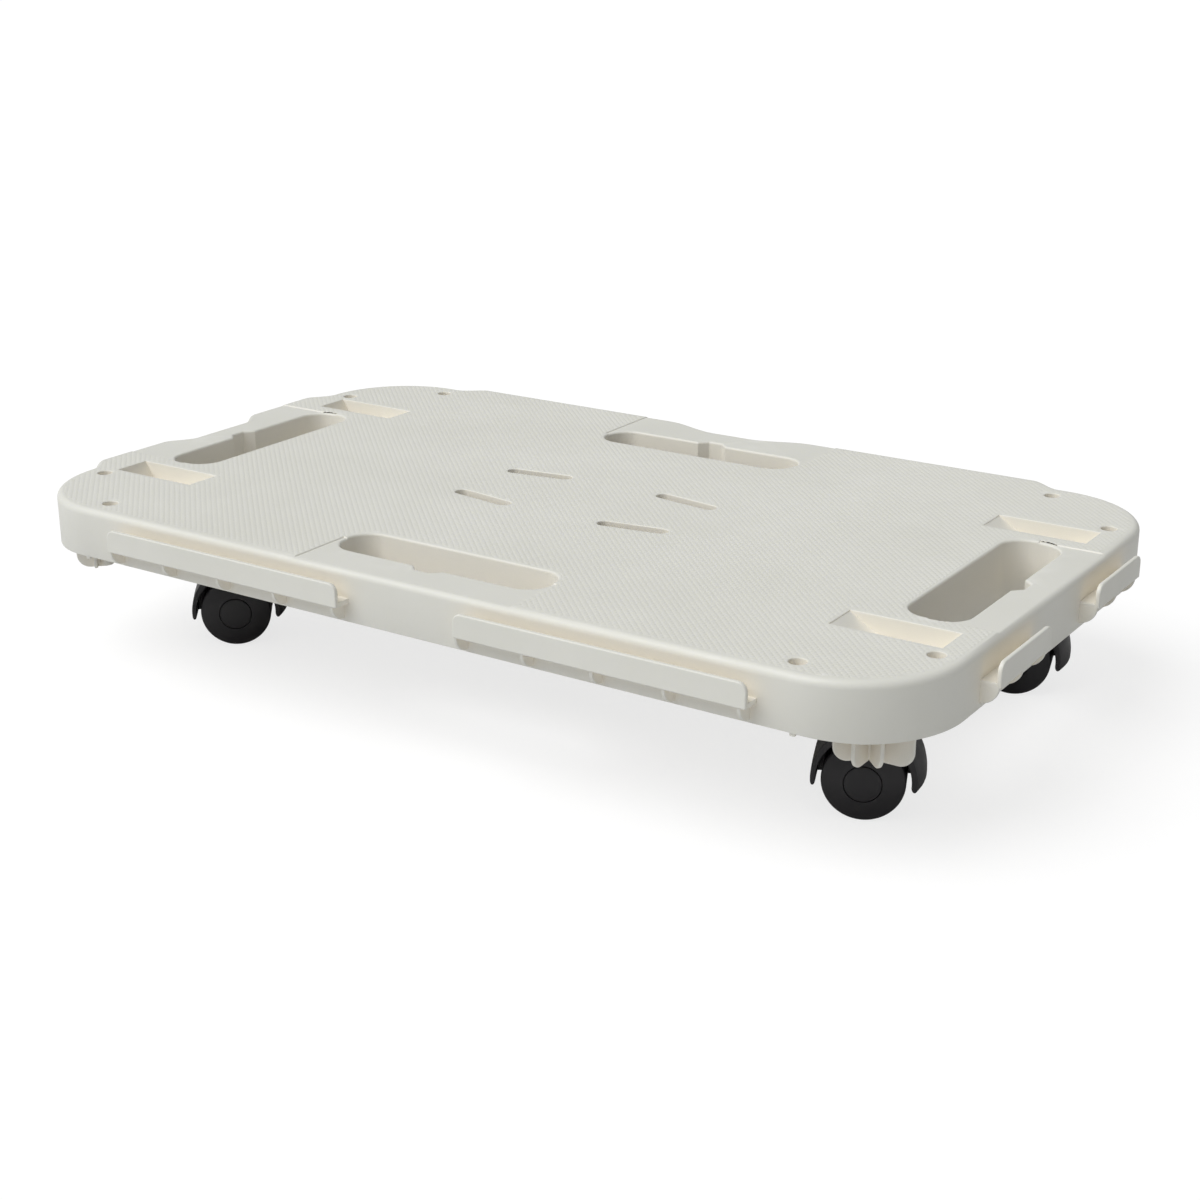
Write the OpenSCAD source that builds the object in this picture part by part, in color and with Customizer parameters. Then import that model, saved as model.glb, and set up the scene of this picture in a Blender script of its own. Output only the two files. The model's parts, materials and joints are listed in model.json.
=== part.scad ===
// Joinable platform dolly: a one-piece moulded deck on four hooded twin-wheel swivel casters.
// Millimetres. The origin is on the floor below the middle of the deck, +X runs along the long
// side, -Y is the front side with the upturned rails, and +Z is up.

/* [Deck] */
// Length of the deck without rails and lips
deck_l = 580; // [560:1:640]
// Width of the deck without rails and lips
deck_w = 348; // [340:1:400]
// Height of the deck's top face above the floor
deck_top = 98; // [96:1:104]
// Height of the skirt round the deck
skirt_h = 31; // [28:1:34]
// Wall thickness of the skirt
skirt_t = 2.8; // [2:0.1:4]
// How much higher the skirt's lower edge is along the front side
front_raise = 1.8; // [0:0.1:3]
// Thickness of the top plate
plate_t = 3; // [2.5:0.1:4]
// Plan radius of the deck's corners
corner_r = 61; // [50:1:64]
// Radius of the rounded top edge
edge_r = 4; // [3:0.5:5]
// Thickness of the walls and ribs below the plate
rib_t = 2; // [1.5:0.1:3]
// Depth of the stiffening ribs below the plate
rib_h = 20; // [12:1:22]

/* [Hand holds] */
// Length of the hand hold in a long side
long_hold_l = 137; // [120:1:150]
// Width of the hand hold in a long side
long_hold_w = 30; // [26:1:34]
// Length of the hand hold in a short side
short_hold_l = 142; // [120:1:150]
// Width of the hand hold in a short side
short_hold_w = 33; // [28:1:36]
// Plastic left between a long side's hand hold and the outer edge
long_hold_margin = 27.6; // [25:0.1:30]
// Plastic left between a short side's hand hold and the outer edge
short_hold_margin = 22; // [20:0.5:25]
// Plan radius of a hand hold's corners
hold_r = 14; // [8:1:14]
// Width of the notch in a hand hold's outer wall
notch_w = 20; // [14:1:24]
// Depth of that notch
notch_d = 5.3; // [3:0.1:7]
// How far the walls of the hand holds reach below the skirt
hold_drop = 6; // [-2:0.5:8]
// Depth of the smooth step between a hand hold and the outer edge
step_d = 0.6; // [0.3:0.1:1]
// Length of the smooth step along the edge
step_l = 142; // [130:1:160]

/* [Tie-down pockets] */
// Distance from the middle to a pocket's inner end
pocket_in = 214; // [210:1:220]
// Distance from the middle to a pocket's outer end
pocket_out = 273.5; // [268:0.5:276]
// Distance from the long axis to the middle of a pocket
pocket_y = 94; // [90:0.5:98]
// Width of a pocket
pocket_w = 23; // [18:1:26]
// Depth of a pocket
pocket_d = 14.3; // [10:0.1:18]

/* [Holes and slots] */
// Radius of the round holes
hole_r = 4.5; // [3:0.1:5]
// Holes near the long edges: half the spacing along X
edge_hole_x = 225; // [222:1:228]
// Holes near the long edges: half the spacing along Y
edge_hole_y = 158; // [154:1:160]
// Holes near the short edges: half the spacing along X
end_hole_x = 275; // [272:1:277]
// Holes near the short edges: half the spacing along Y
end_hole_y = 115; // [114:1:118]
// Length of a centre slot, end to end
slot_l = 43; // [36:1:46]
// Width of a centre slot
slot_w = 8.7; // [6:0.1:10]
// Distance from the middle to a centre slot along X
slot_x = 52; // [48:1:56]
// Distance from the middle to a centre slot along Y
slot_y = 29; // [26:1:34]
// Slant of a centre slot
slot_slant = 8.5; // [0:0.5:12]

/* [Joining rails and lips] */
// How far rails and lips stand out from the skirt
reach = 10.5; // [9:0.1:12]
// Thickness of a rail's upright plate
rail_t = 2.5; // [2:0.1:3]
// Drop from the deck's top to a rail's upper edge
rail_drop = 5.2; // [4:0.1:7]
// Height of a rail's upright plate
rail_h = 13.2; // [10:0.1:15]
// Length of a front rail
front_rail_l = 169; // [150:1:175]
// Middle of the front rails along X: half their distance apart
front_rail_x = 122.6; // [118:0.1:124]
// Sideways shift of both front rails
front_rail_shift = 5.7; // [0:0.1:6]
// Distance of the last rib below a rail from the rail's end
last_rib_inset = 3.4; // [0:0.1:5]
// Length of a side rail
side_rail_l = 63; // [50:1:66]
// Distance from the long axis to the middle of a side rail
side_rail_y = 65; // [60:1:68]
// Thickness of a lip's top flange
lip_t = 4.4; // [3:0.1:5]
// Drop from the deck's top to the lower edge of a lip's hook
lip_drop = 13.5; // [10:0.1:14]
// Back lips: where the full reach starts and ends along X
back_lip = [53, 204];
// Side lips: where the full reach starts and ends along Y
side_lip = [43, 94];
// Length of the outer blend of a lip
ramp_out = 20; // [10:1:24]
// Length of the inner blend of a back lip
back_ramp_in = 40; // [20:1:42]
// Length of the inner blend of a side lip
side_ramp_in = 21; // [10:1:24]

/* [Corner feet] */
// Corner foot: distance from the middle along X
foot_x = 254.2; // [246:0.1:256]
// Corner foot: distance from the middle along Y
foot_y = 138.2; // [136:0.1:145]
// Height of a corner foot's lower edge above the floor
foot_z = 48.6; // [46:0.1:56]
// Radius of a rib's rounded lower corner
foot_r = 8; // [4:1:10]

/* [Casters] */
// Distance of a swivel axis from the middle along X
pivot_x = 213.3; // [208:0.1:216]
// Distance of a swivel axis from the middle along Y
pivot_y = 98.1; // [92:0.1:102]
// Radius of a wheel
wheel_r = 21; // [20:0.5:22]
// Half the width over both hub caps
cap_half_w = 23.9; // [22.5:0.1:25]
// Distance between the swivel axis and the axle
trail = 18.8; // [17:0.1:20]
// Radius of a hub cap
cap_r = 9.3; // [8:0.1:11]
// Radius of the axle
axle_r = 2.5; // [2:0.1:3]
// Radius of the swivel stem
stem_r = 4; // [3.5:0.1:5]
// Direction in which the front left wheels trail at rest
swivel_fl = 39.5; // [-180:0.5:180]
// Direction in which the front right wheels trail at rest
swivel_fr = 22; // [-180:0.5:180]
// Direction in which the back left wheels trail at rest
swivel_bl = 28; // [-180:0.5:180]
// Direction in which the back right wheels trail at rest
swivel_br = 15.5; // [-180:0.5:180]

/* [Hidden] */
$fn = 96;
eps = 0.01;
PLASTIC = [0.83, 0.83, 0.79];
BLACK = [0.10, 0.10, 0.11];
STEEL = [0.72, 0.73, 0.75];

skirt_z = deck_top - skirt_h;
plate_z = deck_top - plate_t;
long_hold_y = deck_w / 2 - long_hold_margin - long_hold_w / 2;
short_hold_x = deck_l / 2 - short_hold_margin - short_hold_w / 2;

// Vertical build-up of a caster
socket_z = 52.2;       // lower face of the sleeve's flange
flange_t = 1.2;        // thickness of that flange
flange_r = 8;
sleeve_r = 6;
sleeve_top = deck_top - 7;
collar_t = 1.5;        // the stem's collar, just below the flange
collar_r = 6.5;
collar_z = socket_z - 0.15 - collar_t;
ring_z = sleeve_top - 7;
ring_h = 1.4;
hood_boss_z = 39;      // lower end of the hood's stem boss
hood_boss_r = 8;
boss_z = socket_z + flange_t;
boss_r = 11;
run_gap = 0.05;        // radial clearance of everything that turns
fixed_gap = 0.02;      // radial clearance of everything that is pressed in

// Hood and wheel profile
hood_r = 27.6;         // outer arc of the hood
hood_dx = 1.4;         // its centre, from the axle
hood_dz = 4;
hood_in_r = 23.9;      // inner arc round the wheels
hood_half_w = 19.6;
web_half = 2.9;        // half the thickness of the web between the wheels
wheel_in = 3.4;        // inner face of a wheel, from the middle of the caster
shoulder_r = 3.2;      // rounding between tread and face
dome_r = 53.9;         // the domed face of a wheel
rim_t = 3.2;
hub_r = 6.5;
recess_y = 20.9;       // bottom of the recess for the cap
clip_y = 18.75;
clip_t = 1;
clip_r = 5.2;

// ---- shared shapes -------------------------------------------------------------------------

module rounded_rect(l, w, r) {
    square([l - 2 * r, w], center = true);
    square([l, w - 2 * r], center = true);
    for (x = [-1, 1], y = [-1, 1])
        translate([x * (l / 2 - r), y * (w / 2 - r)]) circle(r);
}

module four_corners(x, y) {
    for (sx = [0, 1], sy = [0, 1])
        mirror([sx, 0, 0]) mirror([0, sy, 0]) translate([x, y, 0]) children();
}

function arc(cx, cy, r, a0, a1, n) =
    [for (i = [0:n]) let (a = a0 + (a1 - a0) * i / n) [cx + r * cos(a), cy + r * sin(a)]];

function smooth(t) = t * t * (3 - 2 * t);

// ---- deck ----------------------------------------------------------------------------------

// Section of the rounded upper edge, measured from the outer face and from the top
module edge_section() {
    polygon([[-edge_r - 1, -edge_r], each arc(-edge_r, -edge_r, edge_r, 0, 90, 6), [-edge_r - 1, 0]]);
}

// A slab with a rounded upper edge
module deck_block() {
    inner_l = deck_l - 2 * corner_r;
    inner_w = deck_w - 2 * corner_r;
    translate([0, 0, skirt_z]) linear_extrude(skirt_h - edge_r)
        rounded_rect(deck_l, deck_w, corner_r);
    translate([0, 0, deck_top - edge_r - eps]) linear_extrude(edge_r + eps)
        rounded_rect(deck_l - 2 * edge_r, deck_w - 2 * edge_r, corner_r - edge_r);
    translate([0, 0, deck_top]) for (s = [0, 180]) rotate([0, 0, s]) {
        translate([0, deck_w / 2, 0]) rotate([90, 0, 90])
            linear_extrude(inner_l, center = true) edge_section();
        translate([deck_l / 2, 0, 0]) rotate([90, 0, 0])
            linear_extrude(inner_w, center = true) edge_section();
        for (y = [-1, 1]) translate([inner_l / 2, y * inner_w / 2, 0])
            rotate_extrude() translate([corner_r, 0]) edge_section();
    }
}

module deck_hollow() {
    translate([0, 0, skirt_z - eps]) linear_extrude(skirt_h - plate_t + eps)
        rounded_rect(deck_l - 2 * skirt_t, deck_w - 2 * skirt_t, corner_r - skirt_t);
}

// Plan of a hand hold whose outer wall, with its notch, faces -Y
module hold_plan(l, w, grow = 0) {
    rounded_rect(l + 2 * grow, w + 2 * grow, hold_r + grow);
    polygon([
        [-notch_w / 2 - grow, -w / 2 + 1], [-notch_w / 2 - grow, -w / 2 - grow],
        [-notch_w / 2 + notch_d - grow, -w / 2 - notch_d - grow],
        [notch_w / 2 - notch_d + grow, -w / 2 - notch_d - grow],
        [notch_w / 2 + grow, -w / 2 - grow], [notch_w / 2 + grow, -w / 2 + 1]
    ]);
}

module at_holds() {
    for (s = [0, 1]) {
        rotate([0, 0, 180 * s]) translate([0, -long_hold_y, 0]) hold_plan(long_hold_l, long_hold_w, $grow);
        rotate([0, 0, 90 + 180 * s]) translate([0, -short_hold_x, 0])
            hold_plan(short_hold_l, short_hold_w, $grow);
    }
}

module hold_walls() {
    z = skirt_z - hold_drop;
    translate([0, 0, z]) linear_extrude(plate_z - z + eps) at_holds($grow = rib_t);
}

module hold_openings() {
    translate([0, 0, skirt_z - hold_drop - 1]) linear_extrude(skirt_h + hold_drop + 2)
        at_holds($grow = 0);
}

// The smooth step outside each hand hold
module hold_steps() {
    z = deck_top - step_d;
    for (s = [-1, 1]) {
        translate([-step_l / 2, s > 0 ? long_hold_y : -deck_w / 2 - 1, z])
            cube([step_l, deck_w / 2 + 1 - long_hold_y, 1]);
        translate([s > 0 ? short_hold_x : -deck_l / 2 - 1, -step_l / 2, z])
            cube([deck_l / 2 + 1 - short_hold_x, step_l, 1]);
    }
}

// Side view of a pocket: a long shallow arc that ends in a steep wall
module pocket_side(grow = 0) {
    low_x = pocket_in + 0.68 * (pocket_out - pocket_in);
    half = low_x - pocket_in;
    r = (half * half + pocket_d * pocket_d) / (2 * pocket_d);
    wall_x = pocket_out - 7.8;
    intersection() {
        translate([low_x, r - pocket_d]) circle(r + grow);
        polygon([
            [pocket_in - grow, 1], [pocket_in - grow, -pocket_d - grow],
            [wall_x + grow, -pocket_d - grow], [pocket_out + grow + 0.6, 1]
        ]);
    }
}

module pocket(grow = 0) {
    translate([0, pocket_y + pocket_w / 2 + grow, deck_top]) rotate([90, 0, 0])
        linear_extrude(pocket_w + 2 * grow) pocket_side(grow);
}

module four_pockets(grow = 0) {
    for (sx = [0, 1], sy = [0, 1]) mirror([sx, 0, 0]) mirror([0, sy, 0]) pocket(grow);
}

module pocket_shells() {
    intersection() {
        four_pockets(rib_t);
        translate([-deck_l / 2, -deck_w / 2, skirt_z]) cube([deck_l, deck_w, plate_z - skirt_z + eps]);
    }
}

module slot_plan(grow = 0) {
    r = slot_w / 2 + grow;
    square([slot_l - slot_w, 2 * r], center = true);
    for (s = [-1, 1]) translate([s * (slot_l - slot_w) / 2, 0]) circle(r);
}

module four_slots(grow, z, h) {
    translate([0, 0, z]) linear_extrude(h)
        four_corners(slot_x, slot_y) rotate([0, 0, -slot_slant]) slot_plan(grow);
}

module eight_holes(r, z, h) {
    four_corners(edge_hole_x, edge_hole_y) translate([0, 0, z]) cylinder(h = h, r = r);
    four_corners(end_hole_x, end_hole_y) translate([0, 0, z]) cylinder(h = h, r = r);
}

// Crossed stiffening ribs below the plate
module rib_grid() {
    z = plate_z - rib_h;
    for (y = [-80, -40, 0, 40, 80])
        translate([-deck_l / 2 + 1, y - rib_t / 2, z]) cube([deck_l - 2, rib_t, rib_h + eps]);
    for (x = [-180:45:180])
        translate([x - rib_t / 2, -deck_w / 2 + 1, z]) cube([rib_t, deck_w - 2, rib_h + eps]);
}

// An upturned rail along X on a wall whose outside faces -Y, with slanted ribs below it
module rail(l, ribs) {
    top = deck_top - rail_drop;
    bottom = top - rail_h;
    corner = 5;
    translate([0, -reach + rail_t, 0]) rotate([90, 0, 0]) linear_extrude(rail_t) {
        translate([-l / 2, bottom]) square([l, rail_h - corner]);
        translate([-l / 2 + corner, bottom]) square([l - 2 * corner, rail_h]);
        for (s = [-1, 1]) translate([s * (l / 2 - corner), top - corner]) circle(corner);
    }
    translate([-l / 2, -reach, bottom]) cube([l, reach + 1, 2.8]);
    for (i = [0:ribs - 1])
        translate([-l / 2 + i * (l - rib_t - last_rib_inset) / (ribs - 1), 0, bottom])
            rotate([90, 0, 90]) linear_extrude(rib_t)
                polygon([[1, 1], [1 - reach, 1], [1 - reach, -1], [-4, -10], [1, -10]]);
}

module rails() {
    for (s = [-1, 1]) {
        translate([s * front_rail_x + front_rail_shift, -deck_w / 2, 0]) rail(front_rail_l, 5);
        translate([deck_l / 2, s * side_rail_y, 0]) rotate([0, 0, 90]) rail(side_rail_l, 3);
    }
}

// Plan of a lip that stands out by reach towards +Y between a and b, with blends at both ends
module lip_plan(a, b, ramp_in) {
    steps = 12;
    polygon([
        [a - ramp_in, -1],
        for (i = [0:steps]) [a - ramp_in + ramp_in * i / steps, reach * smooth(i / steps)],
        for (i = [0:steps]) [b + ramp_out * i / steps, reach * smooth(1 - i / steps)],
        [b + ramp_out, -1]
    ]);
}

// The flange of a lip and the hook that hangs from it
module lip(a, b, ramp_in) {
    translate([0, 0, deck_top - lip_t]) linear_extrude(lip_t - 1.2) lip_plan(a, b, ramp_in);
    translate([0, -1.2, deck_top - 1.2 - eps]) linear_extrude(1.2 + eps) lip_plan(a, b, ramp_in);
    translate([0, -edge_r, deck_top - lip_t]) linear_extrude(lip_t) lip_plan(a, b, ramp_in);
    translate([a, reach - rail_t, deck_top - lip_drop]) cube([b - a, rail_t, lip_drop - lip_t + eps]);
}

module lips() {
    for (s = [0, 1]) {
        mirror([s, 0, 0]) translate([0, deck_w / 2, 0]) lip(back_lip[0], back_lip[1], back_ramp_in);
        mirror([0, s, 0]) translate([-deck_l / 2, 0, 0]) rotate([0, 0, 90])
            lip(side_lip[0], side_lip[1], side_ramp_in);
    }
}

// A vertical rib of length l along +X with a rounded lower corner
module foot_rib(l, z, r) {
    translate([0, rib_t / 2, 0]) rotate([90, 0, 0]) linear_extrude(rib_t) {
        translate([0, z]) square([l - r, plate_z - z + eps]);
        translate([0, z + r]) square([l, plate_z - z - r + eps]);
        translate([l - r, z + r]) circle(r);
    }
}

// Corner feet: a post with a rib outwards and one along the diagonal. The front right and back
// left feet have two more ribs, the other two have a short cross rib.
module corner_feet() {
    post_r = 4;
    four_corners(foot_x, foot_y) {
        translate([0, 0, foot_z + 1]) cylinder(h = plate_z - foot_z - 1 + eps, r = post_r);
        foot_rib(23, foot_z, foot_r);
        rotate([0, 0, 45]) foot_rib(17.5, foot_z, foot_r);
    }
    for (s = [0, 180]) rotate([0, 0, s]) {
        for (a = [-90, -135])
            translate([foot_x, -foot_y, 0]) rotate([0, 0, a]) foot_rib(18.4, foot_z, foot_r);
        translate([-foot_x - 4.5, -foot_y - 4.5, 0]) rotate([0, 0, -45]) foot_rib(8, foot_z, 5);
    }
}

// Small nubs on the lower edge of the skirt
module nubs() {
    four_corners(deck_l / 2 - corner_r, deck_w / 2 - corner_r) for (a = [20, 88]) rotate([0, 0, a])
        translate([corner_r - skirt_t, -1.5, skirt_z - 1]) cube([2, 3, 4]);
}

// What is cut from the skirt's lower edge along the front side
module front_cut() {
    flat = deck_l / 2 - corner_r;
    translate([0, -deck_w / 2 + 16, 0]) rotate([90, 0, 0]) linear_extrude(17) polygon([
        [-flat - 35, skirt_z - eps], [-flat, skirt_z + front_raise],
        [flat, skirt_z + front_raise], [flat + 35, skirt_z - eps]
    ]);
}

module caster_bosses() {
    rib_l = 26;
    four_corners(pivot_x, pivot_y) {
        translate([0, 0, boss_z]) cylinder(h = plate_z - boss_z + eps, r = boss_r);
        for (a = [45:90:315]) rotate([0, 0, a]) foot_rib(rib_l, boss_z + 6, foot_r);
    }
}

module deck() {
    color(PLASTIC) difference() {
        union() {
            difference() {
                deck_block();
                deck_hollow();
                front_cut();
            }
            hold_walls();
            pocket_shells();
            four_slots(rib_t, plate_z - 6, 6 + eps);
            eight_holes(hole_r + rib_t, plate_z - 10, 10 + eps);
            rib_grid();
            rails();
            lips();
            corner_feet();
            nubs();
            caster_bosses();
        }
        hold_openings();
        hold_steps();
        four_pockets();
        four_slots(0, skirt_z, skirt_h + 1);
        eight_holes(hole_r, skirt_z, skirt_h + 1);
        four_corners(pivot_x, pivot_y) translate([0, 0, boss_z - 1])
            cylinder(h = sleeve_top - boss_z + 1.2, r = sleeve_r + fixed_gap);
    }
}

// ---- caster, drawn with its swivel axis on Z and its wheels trailing towards +X ---------------

// The sleeve pressed into the deck's boss
module socket() {
    color(STEEL) rotate_extrude() difference() {
        union() {
            translate([0, socket_z]) square([flange_r, flange_t]);
            translate([0, socket_z]) square([sleeve_r, sleeve_top - socket_z]);
        }
        translate([0, socket_z - 1]) square([stem_r + run_gap, sleeve_top - socket_z + 2]);
        translate([0, ring_z - 0.1]) square([stem_r + 0.7, ring_h + 0.2]);
    }
}

module stem() {
    color(STEEL) rotate_extrude() difference() {
        union() {
            translate([0, hood_boss_z + 1]) square([stem_r, sleeve_top - 1 - hood_boss_z - 1]);
            translate([0, collar_z]) square([collar_r, collar_t]);
        }
        translate([stem_r - 0.6, ring_z - 0.05]) square([2, ring_h + 0.1]);
    }
}

module grip_ring() {
    color(STEEL) difference() {
        translate([0, 0, ring_z]) rotate_extrude()
            translate([stem_r - 0.55, 0]) square([1.15, ring_h]);
        translate([0, -1, ring_z - 1]) cube([stem_r * 2, 2, ring_h + 2]);
    }
}

// Moves a shape drawn round the Y axis to the axle
module at_axle() {
    translate([trail, 0, wheel_r]) children();
}

// Turns a profile of [radius, distance from the middle] round the axle; side is 1 or -1
module round_axle(side) {
    at_axle() rotate([-90 * side, 0, 0]) rotate_extrude() children();
}

// Side view of the hood: a disc cut off just below the axle
module hood_side() {
    intersection() {
        translate([hood_dx, hood_dz]) circle(hood_r);
        polygon([[-40, -1], [0, -3], [40, -7], [40, 40], [-40, 40]]);
    }
}

module hood() {
    color(BLACK) difference() {
        union() {
            at_axle() translate([0, hood_half_w, 0]) rotate([90, 0, 0])
                linear_extrude(2 * hood_half_w) hood_side();
            translate([0, 0, hood_boss_z]) cylinder(h = collar_z - 0.05 - hood_boss_z, r = hood_boss_r);
            at_axle() rotate([90, 0, 0]) cylinder(h = 2 * web_half, r = 6, center = true);
        }
        for (side = [-1, 1])
            at_axle() rotate([-90 * side, 0, 0]) translate([0, 0, web_half])
                cylinder(h = 30, r = hood_in_r);
        at_axle() rotate([90, 0, 0]) cylinder(h = 20, r = axle_r + fixed_gap, center = true);
        translate([0, 0, hood_boss_z + 0.95]) cylinder(h = 30, r = stem_r + fixed_gap);
    }
}

module axle() {
    color(STEEL) at_axle() rotate([90, 0, 0]) cylinder(h = 2 * (clip_y + clip_t + 0.8), r = axle_r, center = true);
}

module axle_clips() {
    color(STEEL) for (side = [-1, 1]) round_axle(side)
        translate([axle_r + fixed_gap, clip_y]) square([clip_r - axle_r - fixed_gap, clip_t]);
}

// Height of the domed face above the caster's middle, at a radius
function dome_y(r) = cap_half_w - dome_r + sqrt(dome_r * dome_r - r * r);

module wheel(side) {
    shoulder_a = 68.8;
    shoulder_x = wheel_r - shoulder_r;
    shoulder_end = shoulder_x + shoulder_r * cos(shoulder_a);
    shoulder_y = dome_y(shoulder_end) - shoulder_r * sin(shoulder_a);
    face_steps = 6;
    seat_r = cap_r + 0.1;
    color(BLACK) round_axle(side) polygon([
        [axle_r + run_gap, wheel_in],
        [hub_r, wheel_in],
        [hub_r, recess_y - 4],
        [wheel_r - rim_t, shoulder_y],
        [wheel_r - rim_t, wheel_in + 1],
        [wheel_r - 0.8, wheel_in + 0.4],
        [wheel_r, wheel_in + 1.2],
        each arc(shoulder_x, shoulder_y, shoulder_r, 0, shoulder_a, 8),
        for (i = [1:face_steps])
            let (r = shoulder_end + (seat_r - shoulder_end) * i / face_steps) [r, dome_y(r)],
        [seat_r, recess_y],
        [clip_r + 0.4, recess_y],
        [clip_r + 0.4, clip_y - 0.15],
        [axle_r + run_gap, clip_y - 0.15]
    ]);
}

module cap(side) {
    steps = 6;
    color(BLACK) round_axle(side) polygon([
        [0, recess_y + fixed_gap],
        [cap_r, recess_y + fixed_gap],
        for (i = [0:steps]) let (r = cap_r * (1 - i / steps)) [r, dome_y(r)]
    ]);
}

// ---- placing -------------------------------------------------------------------------------

module caster_at(sx, sy, swivel) {
    translate([sx * pivot_x, sy * pivot_y, 0]) rotate([0, 0, swivel]) children();
}

module fl() { caster_at(-1, -1, swivel_fl) children(); }
module fr() { caster_at(1, -1, swivel_fr) children(); }
module bl() { caster_at(-1, 1, swivel_bl) children(); }
module br() { caster_at(1, 1, swivel_br) children(); }

deck();
fl() socket();  // fl_socket
fl() stem();  // fl_stem
fl() grip_ring();  // fl_grip_ring
fl() hood();  // fl_hood
fl() axle();  // fl_axle
fl() axle_clips();  // fl_axle_clips
fl() wheel(1);  // fl_wheel_left
fl() wheel(-1);  // fl_wheel_right
fl() cap(1);  // fl_cap_left
fl() cap(-1);  // fl_cap_right
fr() socket();  // fr_socket
fr() stem();  // fr_stem
fr() grip_ring();  // fr_grip_ring
fr() hood();  // fr_hood
fr() axle();  // fr_axle
fr() axle_clips();  // fr_axle_clips
fr() wheel(1);  // fr_wheel_left
fr() wheel(-1);  // fr_wheel_right
fr() cap(1);  // fr_cap_left
fr() cap(-1);  // fr_cap_right
bl() socket();  // bl_socket
bl() stem();  // bl_stem
bl() grip_ring();  // bl_grip_ring
bl() hood();  // bl_hood
bl() axle();  // bl_axle
bl() axle_clips();  // bl_axle_clips
bl() wheel(1);  // bl_wheel_left
bl() wheel(-1);  // bl_wheel_right
bl() cap(1);  // bl_cap_left
bl() cap(-1);  // bl_cap_right
br() socket();  // br_socket
br() stem();  // br_stem
br() grip_ring();  // br_grip_ring
br() hood();  // br_hood
br() axle();  // br_axle
br() axle_clips();  // br_axle_clips
br() wheel(1);  // br_wheel_left
br() wheel(-1);  // br_wheel_right
br() cap(1);  // br_cap_left
br() cap(-1);  // br_cap_right
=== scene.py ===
import json
import math

import bmesh
import bpy
import numpy as np
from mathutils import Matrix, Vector
from mathutils.geometry import delaunay_2d_cdt


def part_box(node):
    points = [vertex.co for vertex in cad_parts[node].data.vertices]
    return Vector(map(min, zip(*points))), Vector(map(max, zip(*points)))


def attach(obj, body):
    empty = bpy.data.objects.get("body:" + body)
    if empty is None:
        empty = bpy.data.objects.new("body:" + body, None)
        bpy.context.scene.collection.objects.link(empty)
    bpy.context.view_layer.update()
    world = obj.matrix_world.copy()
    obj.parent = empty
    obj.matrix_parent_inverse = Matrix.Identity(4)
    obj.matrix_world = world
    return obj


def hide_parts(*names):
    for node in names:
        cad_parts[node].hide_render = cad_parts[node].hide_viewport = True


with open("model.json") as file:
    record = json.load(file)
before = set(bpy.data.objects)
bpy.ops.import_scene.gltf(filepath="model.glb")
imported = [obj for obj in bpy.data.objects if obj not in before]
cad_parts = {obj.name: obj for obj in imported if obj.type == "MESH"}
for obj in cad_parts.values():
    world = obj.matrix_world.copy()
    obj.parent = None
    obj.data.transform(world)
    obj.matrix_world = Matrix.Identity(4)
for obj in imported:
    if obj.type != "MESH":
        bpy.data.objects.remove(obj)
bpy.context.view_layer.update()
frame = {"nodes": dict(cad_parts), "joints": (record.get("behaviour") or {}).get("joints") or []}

# ---- driving dimensions --------------------------------------------------------------------------
# Lengths are in millimetres in the frame's axes. build() turns them into metres.

MM = 0.001
deck_lo, deck_hi = (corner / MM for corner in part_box("deck"))
REACH = 10.5                # how far rails and lips stand out from the skirt
TOP = round(deck_hi.z, 2)
DECK_L = round(deck_hi.x - deck_lo.x - 2 * REACH, 2)
DECK_W = round(deck_hi.y - deck_lo.y - 2 * REACH, 2)
CORNER_R = 61
EDGE_R = 4                  # rounded top edge
SKIRT_Z = TOP - 31
SKIRT_T = 2.8
FRONT_RAISE = 1.8           # how much higher the skirt's lower edge is along the front
PLATE_Z = TOP - 3
MARGIN = 0.7                # smooth border round every opening and inside the rounded edge
BURR = 0.6                  # rounding of lower edges

TREAD_PITCH = 2.96
TREAD_H = 0.25
STEP_D = 0.6                # the smooth areas outside the hand holds lie this much lower
STEP_HALF = 71
STEP_RUN = 0.5              # plan width of that step's wall

HOLD_R = 14
HOLD_EDGE = 1.5
NOTCH_W = 20
NOTCH_D = 5.3
NOTCH_R = 1.5
HOLD_Z = SKIRT_Z - 6        # lower end of the hand holds' walls
LONG_HOLD = (137, 30, DECK_W / 2 - 27.6 - 15)     # length, width, distance from the middle
SHORT_HOLD = (142, 33, DECK_L / 2 - 22 - 16.5)

POCKET_IN = 214
POCKET_OUT = 273.5
POCKET_Y = 94
POCKET_W = 23
POCKET_D = 14.3
SOFT_EDGE = 0.7             # rounding round pockets, slots and holes

HOLE_R = 4.5
HOLES = [(225, 158), (275, 115)]
SLOT_L = 43
SLOT_W = 8.7
SLOT_AT = (52, 29)
SLOT_SLANT = 8.5

RAIL_T = 2.5
RAIL_H = 13.2
RAIL_Z = TOP - 5.2 - RAIL_H
RAIL_FLOOR = 2.8
LAST_RIB_INSET = 3.4        # distance of a rail's last rib from its end
FRONT_RAILS = [(-116.9, 169, 5), (128.3, 169, 5)]  # middle along the wall, length, ribs
SIDE_RAILS = [(-65, 63, 3), (65, 63, 3)]
LIP_T = 4.4
LIP_DROP = 13.5
BACK_LIP = (53, 204, 40, 20)                       # start, end, inner blend, outer blend
SIDE_LIP = (43, 94, 21, 19)

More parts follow.
